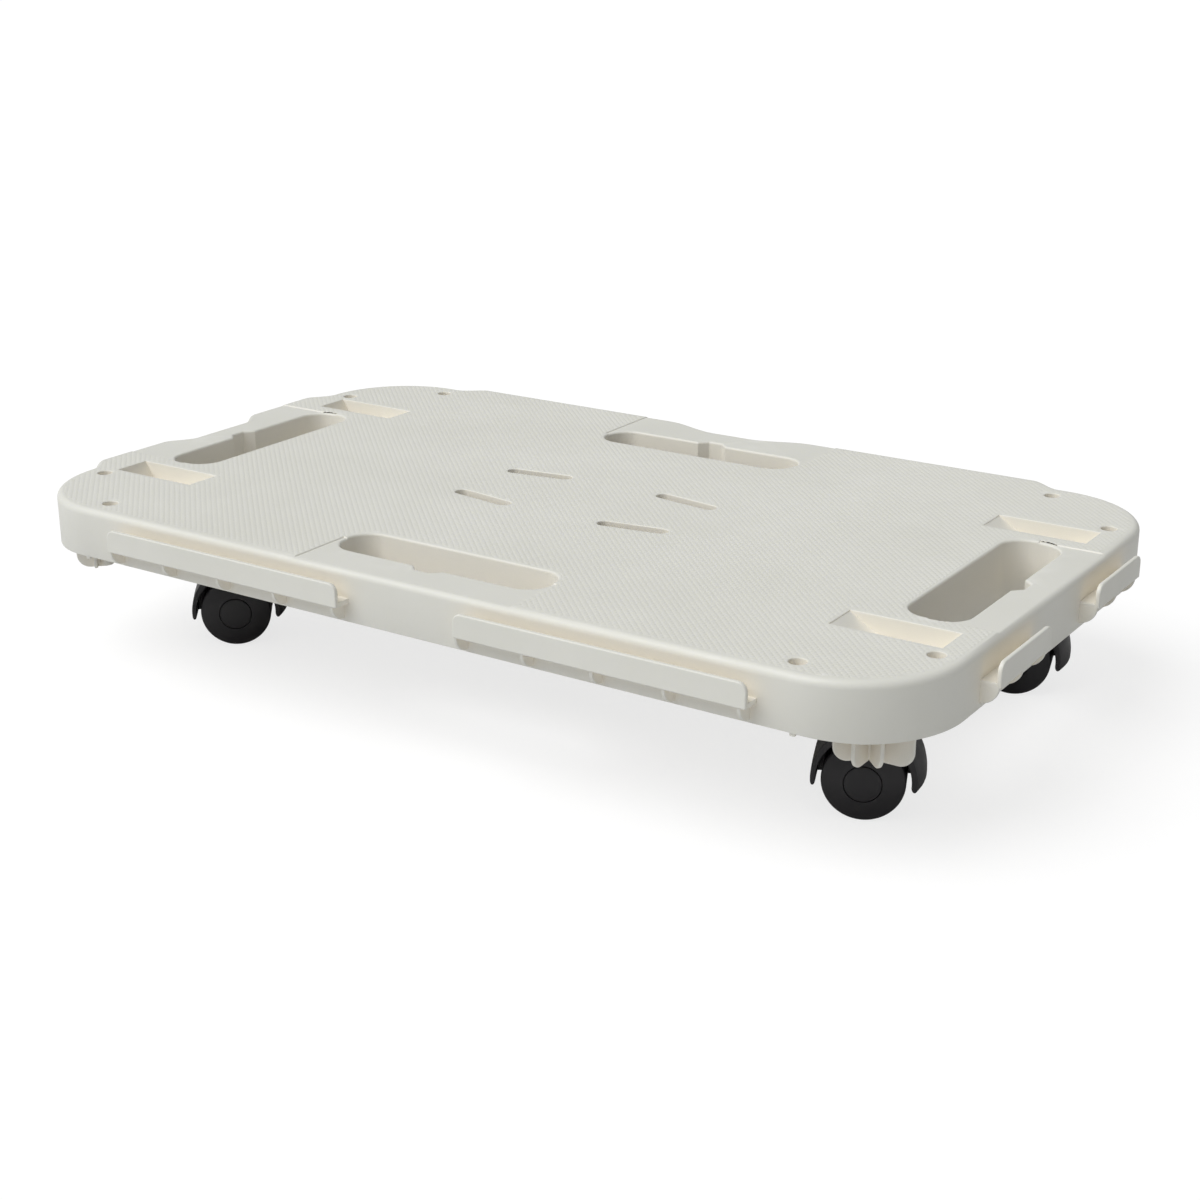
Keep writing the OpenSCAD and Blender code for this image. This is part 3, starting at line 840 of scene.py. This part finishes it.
def corner_foot(shape, sx, sy):
    """A post with ribs outwards and along the diagonal. The front right and back left feet have two
    more ribs, the other two have a short cross rib."""
    x, y = sx * FOOT_AT[0], sy * FOOT_AT[1]
    post = [(0, FOOT_Z + 1), (3, FOOT_Z + 1), (3.7, FOOT_Z + 1.3), (4, FOOT_Z + 2), (4, PLATE_Z + 1),
            (0, PLATE_Z + 1)]
    shape.lathe(post, lambda u, v, z: (x + u, y + v, z), 32)

    def rib(dx, dy, length, r, start=0):
        upright_rib(shape, (x + sx * start, y + sy * start), math.degrees(math.atan2(sy * dy, sx * dx)),
                    length, FOOT_Z, r, 0.6)

    rib(1, 0, 23, FOOT_R)
    rib(1, 1, 17.5, FOOT_R)
    if sx * sy < 0:
        rib(0, 1, 18.4, FOOT_R)
        rib(-1, 1, 18.4, FOOT_R)
    else:
        rib(-1, 1, 8, 5, 4.5)


def nub(shape, sx, sy, angle):
    """A small block on the skirt's lower edge at a place round a corner."""
    a = math.radians(angle)
    out = CORNER_R - SKIRT_T + 1

    def place(u, v, h):
        along, across = out + u, v
        return (sx * (DECK_L / 2 - CORNER_R + along * math.cos(a) - across * math.sin(a)),
                sy * (DECK_W / 2 - CORNER_R + along * math.sin(a) + across * math.cos(a)),
                SKIRT_Z + 2 + h)

    block = [(-1, -1.5, 0.5), (1, -1.5, 0.5), (1, 1.5, 0.5), (-1, 1.5, 0.5)]
    shape.slab(round_corners(block, 4), 4, 0.5, place)


def deck_ribs():
    shape = Shape()
    rib_grid(shape)
    boss = [(0, BOSS_CEILING), (BOSS_IN, BOSS_CEILING), (BOSS_IN, BOSS_Z + 0.5), (BOSS_IN + 0.5, BOSS_Z),
            (BOSS_R - 0.8, BOSS_Z), (BOSS_R - 0.25, BOSS_Z + 0.25), (BOSS_R, BOSS_Z + 0.8)]
    boss += [(BOSS_R * (1 - k / 12), PLATE_Z + 1) for k in range(13)]
    for sx, sy in QUARTERS:
        corner_foot(shape, sx, sy)
        for angle in NUB_ANGLES:
            nub(shape, sx, sy, angle)
    for name in CASTERS:
        pivot = caster(name)["pivot"]
        shape.lathe(boss, lambda u, v, z: below_deck(pivot.x + u, pivot.y + v, z), 96)
        for angle in (45, 135, 225, 315):
            a = math.radians(angle)
            start = (pivot.x + (BOSS_IN + 1) * math.cos(a), pivot.y + (BOSS_IN + 1) * math.sin(a))
            upright_rib(shape, start, angle, BRACKET - BOSS_IN - 1, BOSS_Z + 6, FOOT_R)
    return shape


# ---- casters -------------------------------------------------------------------------------------

CASTERS = ["fl", "fr", "bl", "br"]


def caster(name):
    """Where a caster stands: its swivel axis, the direction its wheels trail in, and how far."""
    joints = {joint["name"]: joint for joint in frame["joints"]}
    pivot = Vector(joints[name + "_swivel"]["pos_m"]) / MM
    spin = joints[name + "_left_spin"]
    axle = Vector(spin["axis"])
    back = Vector((axle.y, -axle.x, 0))
    return {"pivot": pivot, "back": back, "axle": axle,
            "trail": (Vector(spin["pos_m"]) / MM - pivot).dot(back)}


def from_axle(at, x, y, z):
    """A caster's own point, measured from the middle of its axle, in the frame."""
    p = at["pivot"] + at["back"] * (at["trail"] + x) + at["axle"] * y
    return (p.x, p.y, WHEEL_R + z)


def dome(r):
    """Distance of a wheel's domed face from the caster's middle at a radius."""
    return CAP_HALF_W - DOME_R + math.sqrt(DOME_R * DOME_R - r * r)


def wheel_profile():
    """(radius, distance from the middle) round a wheel's section."""
    bore = 2.55
    hub = 6.5
    rim = WHEEL_R - 3.2
    painted_recess_light = 20.9
    clip = 18.6
    shoulder_r = 2
    shoulder_a = 68.8
    shoulder_x = WHEEL_R - shoulder_r
    end = shoulder_x + shoulder_r * math.cos(math.radians(shoulder_a))
    shoulder_y = dome(end) - shoulder_r * math.sin(math.radians(shoulder_a))
    seat = CAP_R + 0.4
    face = [(end + (seat + 0.35 - end) * k / 8, 0) for k in range(1, 9)]
    face = [(r, dome(r)) for r, _ in face]
    return ([(bore, WHEEL_IN + 0.3), (bore + 0.3, WHEEL_IN), (hub - 0.3, WHEEL_IN), (hub, WHEEL_IN + 0.3),
             (hub, painted_recess_light - 4), (rim, shoulder_y), (rim, WHEEL_IN + 1), (WHEEL_R - 0.9, WHEEL_IN + 0.4),
             (WHEEL_R - 0.25, WHEEL_IN + 0.65), (WHEEL_R, WHEEL_IN + 1.3)]
            + arc(shoulder_x, shoulder_y, shoulder_r, 0, shoulder_a, 10) + face
            + [(seat + 0.1, dome(seat) - 0.08), (seat, dome(seat) - 0.35), (seat, painted_recess_light),
               (5.6, painted_recess_light), (5.6, clip), (bore, clip)])


def cap_profile():
    painted_recess_light = 20.92
    top = [(CAP_R, dome(CAP_R) - 0.35), (CAP_R - 0.1, dome(CAP_R) - 0.08)]
    face = [(CAP_R - 0.35) * (1 - k / 8) for k in range(9)]
    return [(0, painted_recess_light), (CAP_R, painted_recess_light)] + top + [(r, dome(r)) for r in face]


def wheels(name, material):
    at = caster(name)
    for side, label in ((1, "left"), (-1, "right")):
        body = f"{name}_{label}_wheel"
        wheel = Shape()
        profile = wheel_profile()
        wheel.lathe(profile + profile[:1], lambda x, z, h: from_axle(at, x, side * h, z), 112)
        piece = wheel.build(f"{name}_wheel_{label}_moulding", body, material, "wheel_plastic", 35)
        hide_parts(f"{name}_wheel_{label}")
        cap = Shape()
        cap.lathe(cap_profile(), lambda x, z, h: from_axle(at, x, side * h, z), 80)
        piece = cap.build(f"{name}_cap_{label}_moulding", body, material, "wheel_plastic", 35)
        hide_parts(f"{name}_cap_{label}")


def fender_outline(across):
    """Side view of the hood's band over the wheels, from the axle: outer arc, left tip, inner arc and
    right tip. It's longest in the middle, where across is 0, and shorter where it's 1 or -1."""
    cx = 1.8 - 1.7 * across ** 2
    rx, rz, inner = 28.4 - 2.1 * across ** 2, 29.5 - 1.5 * across ** 2, 23.6
    outer = [(cx + rx * x, rz * z) for x, z in arc(0, 0, 1, -4, 184, 44)]
    under = arc(0, 0, inner, 184, -4, 44)
    left = bezier(outer[-1], (outer[-1][0] + 0.1, -4.9), (under[0][0] - 0.3, -4.9), under[0], 8)
    right = bezier(under[-1], (under[-1][0] + 0.3, -4.9), (outer[0][0] - 0.1, -4.9), outer[0], 8)
    return outer, left[1:-1], under, right[1:-1]


def hood_band(shape, place):
    """The band over both wheels, with rounded edges."""
    edge = 0.5
    half = [(0, 0), (4, 0), (8, 0), (12, 0), (16, 0)]
    for k in range(4):
        a = math.pi / 2 * (1 - k / 3)
        half.append((HOOD_HALF_W - edge * (1 - math.cos(a)), -edge * (1 - math.sin(a))))
    rings = []
    for y, offset in [(-y, offset) for y, offset in half[:0:-1]] + half:
        outline = sum(fender_outline(y / HOOD_HALF_W), [])
        rings.append([place(x, z, y) for x, z, _ in ring(outline, mitres(outline), offset, 0)])
    shape.skin(rings)
    for end in (rings[0], rings[-1]):
        outer, left, under, right = end[:45], end[45:52], end[52:97], end[97:]
        shape.skin([outer, under[::-1]], closed=False)
        shape.face([outer[-1]] + left + [under[0]])
        shape.face([under[-1]] + right + [outer[0]])


def hood(name, material):
    """Fender, the web between the wheels, the axle's boss and the stem's boss."""
    at = caster(name)
    shape = Shape()

    def side_view(x, z, y):
        return from_axle(at, x, y, z)

    hood_band(shape, side_view)
    web = arc(1.4, 1, 26.2, -4, 190, 40)
    shape.slab(web, 5.8, 0.4, side_view)
    shape.lathe([(AXLE_BORE, -3), (5.6, -3), (6, -2.6), (6, 2.6), (5.6, 3), (AXLE_BORE, 3), (AXLE_BORE, -3)],
                side_view, 48)
    boss = [(0, 39), (7.4, 39), (8, 39.6), (8, 49.8), (7.8, 50.2), (7.4, 50.4), (STEM_BORE, 50.4),
            (STEM_BORE, 39.9), (0, 39.9)]
    shape.lathe(boss, lambda x, y, z: from_axle(at, x - at["trail"], y, z - WHEEL_R), 64)
    piece = shape.build(f"{name}_hood_moulding", f"{name}_swivel", material, "caster_plastic", 35)
    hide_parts(f"{name}_hood")


# ---- materials -----------------------------------------------------------------------------------

class Nodes:
    """A material's node tree with short calls."""

    def __init__(self, name):
        self.material = bpy.data.materials.new(name)
        self.material.use_nodes = True
        self.tree = self.material.node_tree
        self.shader = self.tree.nodes["Principled BSDF"]
        self.place = self.add("ShaderNodeTexCoord").outputs["Object"]

    def add(self, kind, **inputs):
        node = self.tree.nodes.new(kind)
        for key, value in inputs.items():
            self.set(node, key.replace("_", " "), value)
        return node

    def set(self, node, key, value):
        socket = node.inputs[key]
        if isinstance(value, bpy.types.NodeSocket):
            self.tree.links.new(value, socket)
        else:
            socket.default_value = value

    def noise(self, size, detail=2.0, stretch=(1, 1, 1)):
        """Noise whose features are about size metres."""
        scaled = self.add("ShaderNodeMapping", Vector=self.place, Scale=stretch)
        node = self.add("ShaderNodeTexNoise", Vector=scaled.outputs[0], Scale=1 / size, Detail=detail)
        return node.outputs["Fac"]

    def spread(self, value, low, high, from_low=0.3, from_high=0.7):
        node = self.add("ShaderNodeMapRange", Value=value)
        node.inputs["From Min"].default_value = from_low
        node.inputs["From Max"].default_value = from_high
        node.inputs["To Min"].default_value = low
        node.inputs["To Max"].default_value = high
        return node.outputs[0]

    def mix(self, factor, a, b):
        node = self.tree.nodes.new("ShaderNodeMix")
        node.data_type = "RGBA"
        self.set(node, 0, factor)
        for key, colour in ((6, a), (7, b)):
            if isinstance(colour, tuple):
                colour = (*colour, 1)
            self.set(node, key, colour)
        return node.outputs[2]

    def bump(self, height, strength, size, normal=None):
        node = self.add("ShaderNodeBump", Height=height, Strength=strength, Distance=size)
        if normal:
            self.set(node, "Normal", normal)
        return node.outputs[0]

    def edges(self, low, high):
        """0 to 1 over convex edges."""
        point = self.add("ShaderNodeNewGeometry").outputs["Pointiness"]
        return self.spread(point, 0, 1, low, high)


def moulded(name, tone, shade, worn, rough, grain, painted_recess_light=None):
    """Injection-moulded plastic: cloudy colour, fine moulded grain, paler rubbed edges, and the
    warmer colour that light takes on in recesses."""
    nodes = Nodes(name)
    cloud = nodes.spread(nodes.noise(0.09, 4), 0, 1)
    colour = nodes.mix(cloud, tone, shade)
    speck = nodes.spread(nodes.noise(0.0035, 3), 0, 0.5, 0.55, 0.8)
    colour = nodes.mix(speck, colour, shade)
    rub = nodes.add("ShaderNodeMath")
    rub.operation = "MULTIPLY"
    nodes.set(rub, 0, nodes.edges(0.52, 0.62))
    nodes.set(rub, 1, nodes.spread(nodes.noise(0.012, 3), 0, 0.8, 0.4, 0.65))
    colour = nodes.mix(rub.outputs[0], colour, worn)
    # Painted bounce light: where ambient occlusion finds a recess, the colour moves towards a paler, warmer tint.
    if painted_recess_light:
        open_sky = nodes.add("ShaderNodeAmbientOcclusion", Distance=0.06)
        open_sky.samples = 4
        colour = nodes.mix(nodes.spread(open_sky.outputs["AO"], 1, 0, 0.4, 0.95), colour, painted_recess_light)
    nodes.set(nodes.shader, "Base Color", colour)
    nodes.set(nodes.shader, "Roughness", nodes.spread(nodes.noise(0.02, 3), rough - 0.05, rough + 0.06))
    fine = nodes.bump(nodes.noise(0.0006, 2), grain, 0.0001)
    nodes.set(nodes.shader, "Normal", nodes.bump(nodes.noise(0.03, 1), 0.08, 0.0006, fine))
    return nodes


def turned_steel(name, tone, rough):
    """Zinc-plated steel with fine turning marks."""
    nodes = Nodes(name)
    marks = nodes.noise(0.0006, 3, (0.2, 0.2, 3))
    cloud = nodes.spread(nodes.noise(0.008, 3), 0, 1)
    nodes.set(nodes.shader, "Base Color", nodes.mix(cloud, tone, tuple(c * 0.8 for c in tone)))
    nodes.set(nodes.shader, "Metallic", 1.0)
    nodes.set(nodes.shader, "Roughness", nodes.spread(marks, rough - 0.06, rough + 0.1))
    nodes.set(nodes.shader, "Normal", nodes.bump(marks, 0.25, 0.00005))
    return nodes.material


def make_materials():
    # The deck's last colour is painted warm bounce light for its recesses.
    deck = moulded("deck_plastic", (0.66, 0.66, 0.615), (0.63, 0.63, 0.58), (0.72, 0.72, 0.68), 0.46, 0.12,
                   (0.84, 0.80, 0.71))
    deck.set(deck.shader, "Specular IOR Level", 0.4)
    deck.set(deck.shader, "Subsurface Weight", 0.08)
    deck.set(deck.shader, "Subsurface Radius", (0.003, 0.003, 0.002))
    hood_black = moulded("caster_plastic", (0.014, 0.013, 0.015), (0.019, 0.018, 0.020),
                         (0.05, 0.05, 0.05), 0.48, 0.5)
    wheel_black = moulded("wheel_plastic", (0.012, 0.011, 0.013), (0.016, 0.015, 0.017),
                          (0.03, 0.03, 0.03), 0.44, 0.3)
    for black in (hood_black, wheel_black):
        black.set(black.shader, "Specular IOR Level", 0.4)
    return {
        "deck_plastic": deck.material,
        "caster_plastic": hood_black.material,
        "wheel_plastic": wheel_black.material,
        "steel": turned_steel("steel", (0.62, 0.62, 0.60), 0.32),
        "spring_steel": turned_steel("spring_steel", (0.45, 0.45, 0.46), 0.38),
    }


def finish_of(node):
    """The material of a CAD node, by its name."""
    part = node.split("_", 1)[-1]
    if node == "deck":
        return "deck_plastic"
    if part in ("grip_ring", "axle_clips"):
        return "spring_steel"
    if part in ("socket", "stem", "axle"):
        return "steel"
    return "caster_plastic" if part == "hood" else "wheel_plastic"


# ---- stage ---------------------------------------------------------------------------------------

def make_stage():
    mesh = bpy.data.meshes.new("floor")
    half = 12
    mesh.from_pydata([(-half, -half, 0), (half, -half, 0), (half, half, 0), (-half, half, 0)], [], [(0, 1, 2, 3)])
    floor = bpy.data.objects.new("floor", mesh)
    bpy.context.scene.collection.objects.link(floor)
    pale = Nodes("floor_paint")
    seen = pale.add("ShaderNodeLightPath").outputs["Is Camera Ray"]
    pale.set(pale.shader, "Base Color", pale.mix(seen, (0.72, 0.72, 0.72), (0.25, 0.25, 0.25)))
    pale.set(pale.shader, "Emission Color", (1, 1, 1, 1))
    pale.set(pale.shader, "Emission Strength", pale.spread(seen, 0, 0.76, 0, 1))
    pale.set(pale.shader, "Roughness", 0.9)
    pale.set(pale.shader, "Specular IOR Level", 0.1)
    mesh.materials.append(pale.material)

    world = bpy.data.worlds.new("studio")
    world.use_nodes = True
    tree = world.node_tree
    back = tree.nodes["Background"]
    back.inputs["Color"].default_value = (1, 1, 1, 1)
    ray = tree.nodes.new("ShaderNodeLightPath")
    strength = tree.nodes.new("ShaderNodeMapRange")
    strength.inputs["To Min"].default_value = 0.38
    strength.inputs["To Max"].default_value = 1.0
    tree.links.new(ray.outputs["Is Camera Ray"], strength.inputs["Value"])
    tree.links.new(strength.outputs[0], back.inputs["Strength"])
    bpy.context.scene.world = world

    key = bpy.data.lights.new("key", "SUN")
    key.energy = 2.6
    key.angle = math.radians(50)
    lamp = bpy.data.objects.new("key", key)
    towards = Vector((-0.35, -0.5, 0.84))
    lamp.rotation_mode = "QUATERNION"
    lamp.rotation_quaternion = towards.to_track_quat("Z", "Y")
    bpy.context.scene.collection.objects.link(lamp)
    bpy.context.scene.view_settings.view_transform = "Standard"


def make_camera():
    data = bpy.data.cameras.new("camera")
    data.lens = 59.1
    data.sensor_width = 36
    camera = bpy.data.objects.new("camera", data)
    camera.location = (0.6151, -0.9137, 0.4339)
    look = Vector((-0.5186, 0.7844, -0.3402))
    camera.rotation_mode = "QUATERNION"
    camera.rotation_quaternion = look.to_track_quat("-Z", "Y")
    bpy.context.scene.collection.objects.link(camera)
    bpy.context.scene.camera = camera


# ---- the object ----------------------------------------------------------------------------------

materials = make_materials()
for node, obj in frame["nodes"].items():
    obj.data.materials.clear()
    obj.data.materials.append(materials[finish_of(node)])

for name, shape in (("deck_shell", deck_shell()), ("deck_rails", deck_rails()), ("deck_ribs", deck_ribs())):
    piece = shape.build(name, "deck", materials["deck_plastic"], "deck_plastic")
    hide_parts("deck")
for name in CASTERS:
    hood(name, materials["caster_plastic"])
    wheels(name, materials["wheel_plastic"])

make_stage()
make_camera()
